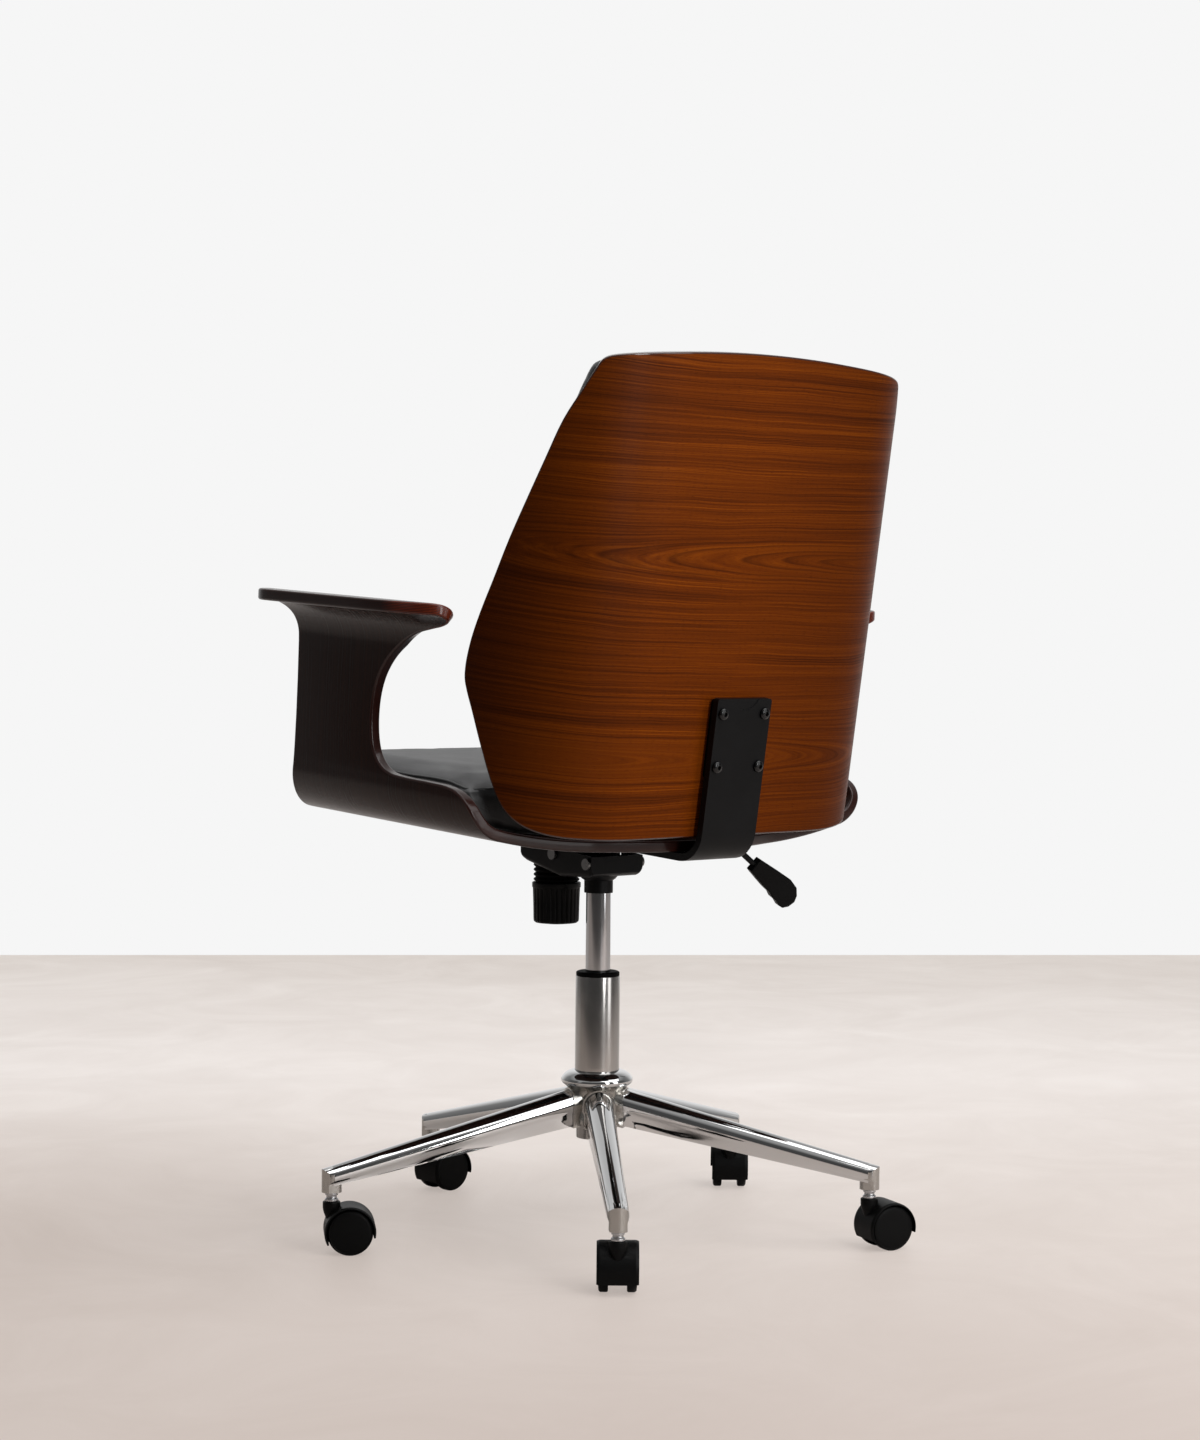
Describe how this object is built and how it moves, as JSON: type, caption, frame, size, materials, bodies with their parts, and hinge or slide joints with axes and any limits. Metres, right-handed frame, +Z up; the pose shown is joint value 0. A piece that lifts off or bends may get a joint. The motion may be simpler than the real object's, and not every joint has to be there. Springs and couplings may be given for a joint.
{
  "type": "swivel desk chair",
  "caption": "Swivel desk chair with a bent plywood back, a bent plywood seat that turns up into its arms, dark cushions, a gas lift and a star base on casters.",
  "frame": {"origin": "on the floor below the middle of the chair's bounding box; the lift column stands on x = 0, y = 0.023", "axes": "+Z up, -Y the way the sitter faces, +X to the sitter's left"},
  "size_m": [0.7002, 0.6238, 0.9749],
  "materials": {
    "polished_chrome": "polished",
    "brushed_chrome": "satin",
    "zinc_steel": "satin",
    "black_steel": "satin",
    "black_nylon": "satin",
    "black_rubber": "matte",
    "black_screw": "gloss",
    "walnut_back": "satin",
    "espresso_seat": "gloss",
    "dark_upholstery": "satin"
  },
  "bodies": {
    "base": {"base_hub": "polished_chrome", "base_leg_1": "polished_chrome", "base_leg_2": "polished_chrome", "base_leg_3": "polished_chrome", "base_leg_4": "polished_chrome", "base_leg_5": "polished_chrome", "caster_stem_1": "zinc_steel", "caster_stem_2": "zinc_steel", "caster_stem_3": "zinc_steel", "caster_stem_4": "zinc_steel", "caster_stem_5": "zinc_steel", "lift_outer_tube": "brushed_chrome", "lift_guide_bush": "black_rubber", "lift_thrust_bearing": "zinc_steel", "lift_retaining_clip": "zinc_steel"},
    "swivel": {"lift_piston_rod": "zinc_steel"},
    "carriage": {"lift_cylinder": "brushed_chrome", "lift_release_button": "black_nylon", "mech_housing": "black_steel", "tilt_pivot_pin": "zinc_steel", "housing_cross_bolt": "zinc_steel", "tension_bellows": "black_rubber", "tension_spring": "zinc_steel"},
    "tension": {"tension_knob": "black_nylon", "tension_screw": "zinc_steel"},
    "lever": {"lever_rod": "black_steel", "lever_grip": "black_nylon"},
    "seat": {"seat_shell": "espresso_seat", "seat_plate": "black_steel", "seat_cushion": "dark_upholstery", "back_shell": "walnut_back", "back_cushion": "dark_upholstery", "back_bracket": "black_steel", "bracket_spacer": "black_rubber", "seat_bolt_1": "black_screw", "seat_bolt_2": "black_screw", "seat_bolt_3": "black_screw", "seat_bolt_4": "black_screw", "bracket_bolt_1": "black_screw", "bracket_bolt_2": "black_screw", "back_screw_1": "black_screw", "back_screw_2": "black_screw", "back_screw_3": "black_screw", "back_screw_4": "black_screw"},
    "caster_1": {"caster_hood_1": "black_nylon"},
    "wheel_1_left": {"caster_wheel_1_left": "black_nylon"},
    "wheel_1_right": {"caster_wheel_1_right": "black_nylon"},
    "caster_2": {"caster_hood_2": "black_nylon"},
    "wheel_2_left": {"caster_wheel_2_left": "black_nylon"},
    "wheel_2_right": {"caster_wheel_2_right": "black_nylon"},
    "caster_3": {"caster_hood_3": "black_nylon"},
    "wheel_3_left": {"caster_wheel_3_left": "black_nylon"},
    "wheel_3_right": {"caster_wheel_3_right": "black_nylon"},
    "caster_4": {"caster_hood_4": "black_nylon"},
    "wheel_4_left": {"caster_wheel_4_left": "black_nylon"},
    "wheel_4_right": {"caster_wheel_4_right": "black_nylon"},
    "caster_5": {"caster_hood_5": "black_nylon"},
    "wheel_5_left": {"caster_wheel_5_left": "black_nylon"},
    "wheel_5_right": {"caster_wheel_5_right": "black_nylon"}
  },
  "joints": [
    {"name": "seat_swivel", "type": "hinge", "parent": "base", "child": "swivel", "pos_m": [0, 0.023, 0.2], "axis": [0, 0, 1], "continuous": true},
    {"name": "height_lift", "type": "slide", "parent": "swivel", "child": "carriage", "axis": [0, 0, 1], "range_m": [-0.085, 0]},
    {"name": "seat_tilt", "type": "hinge", "parent": "carriage", "child": "seat", "pos_m": [0, -0.012, 0.43], "axis": [-1, 0, 0], "range_deg": [0, 10], "stiffness_Nm_per_rad": 100, "springref_deg": -17.19},
    {"name": "tension_turn", "type": "hinge", "parent": "carriage", "child": "tension", "pos_m": [0, -0.052, 0.37], "axis": [0, 0, 1], "range_deg": [-180, 180]},
    {"name": "lift_lever", "type": "hinge", "parent": "carriage", "child": "lever", "pos_m": [-0.03, 0.023, 0.434], "axis": [0, 1, 0], "range_deg": [0, 4], "stiffness_Nm_per_rad": 1, "springref_deg": -5.73},
    {"name": "caster_swivel_1", "type": "hinge", "parent": "base", "child": "caster_1", "pos_m": [0, -0.289, 0.06], "axis": [0, 0, 1], "continuous": true},
    {"name": "wheel_spin_1_left", "type": "hinge", "parent": "caster_1", "child": "wheel_1_left", "pos_m": [-0.01997, -0.29005, 0.025], "axis": [0.0523, -0.9986, 0], "continuous": true},
    {"name": "wheel_spin_1_right", "type": "hinge", "parent": "caster_1", "child": "wheel_1_right", "pos_m": [-0.01997, -0.29005, 0.025], "axis": [0.0523, -0.9986, 0], "continuous": true},
    {"name": "caster_swivel_2", "type": "hinge", "parent": "base", "child": "caster_2", "pos_m": [0.29673, -0.07341, 0.06], "axis": [0, 0, 1], "continuous": true},
    {"name": "wheel_spin_2_left", "type": "hinge", "parent": "caster_2", "child": "wheel_2_left", "pos_m": [0.27996, -0.06252, 0.025], "axis": [-0.5446, -0.8387, 0], "continuous": true},
    {"name": "wheel_spin_2_right", "type": "hinge", "parent": "caster_2", "child": "wheel_2_right", "pos_m": [0.27996, -0.06252, 0.025], "axis": [-0.5446, -0.8387, 0], "continuous": true},
    {"name": "caster_swivel_3", "type": "hinge", "parent": "base", "child": "caster_3", "pos_m": [0.18339, 0.27541, 0.06], "axis": [0, 0, 1], "continuous": true},
    {"name": "wheel_spin_3_left", "type": "hinge", "parent": "caster_3", "child": "wheel_3_left", "pos_m": [0.17045, 0.26016, 0.025], "axis": [0.7627, -0.6468, 0], "continuous": true},
    {"name": "wheel_spin_3_right", "type": "hinge", "parent": "caster_3", "child": "wheel_3_right", "pos_m": [0.17045, 0.26016, 0.025], "axis": [0.7627, -0.6468, 0], "continuous": true},
    {"name": "caster_swivel_4", "type": "hinge", "parent": "base", "child": "caster_4", "pos_m": [-0.18339, 0.27541, 0.06], "axis": [0, 0, 1], "continuous": true},
    {"name": "wheel_spin_4_left", "type": "hinge", "parent": "caster_4", "child": "wheel_4_left", "pos_m": [-0.20256, 0.28113, 0.025], "axis": [-0.2857, -0.9583, 0], "continuous": true},
    {"name": "wheel_spin_4_right", "type": "hinge", "parent": "caster_4", "child": "wheel_4_right", "pos_m": [-0.20256, 0.28113, 0.025], "axis": [-0.2857, -0.9583, 0], "continuous": true},
    {"name": "caster_swivel_5", "type": "hinge", "parent": "base", "child": "caster_5", "pos_m": [-0.29673, -0.07341, 0.06], "axis": [0, 0, 1], "continuous": true},
    {"name": "wheel_spin_5_left", "type": "hinge", "parent": "caster_5", "child": "wheel_5_left", "pos_m": [-0.30967, -0.08867, 0.025], "axis": [0.7627, -0.6468, 0], "continuous": true},
    {"name": "wheel_spin_5_right", "type": "hinge", "parent": "caster_5", "child": "wheel_5_right", "pos_m": [-0.30967, -0.08867, 0.025], "axis": [0.7627, -0.6468, 0], "continuous": true}
  ]
}
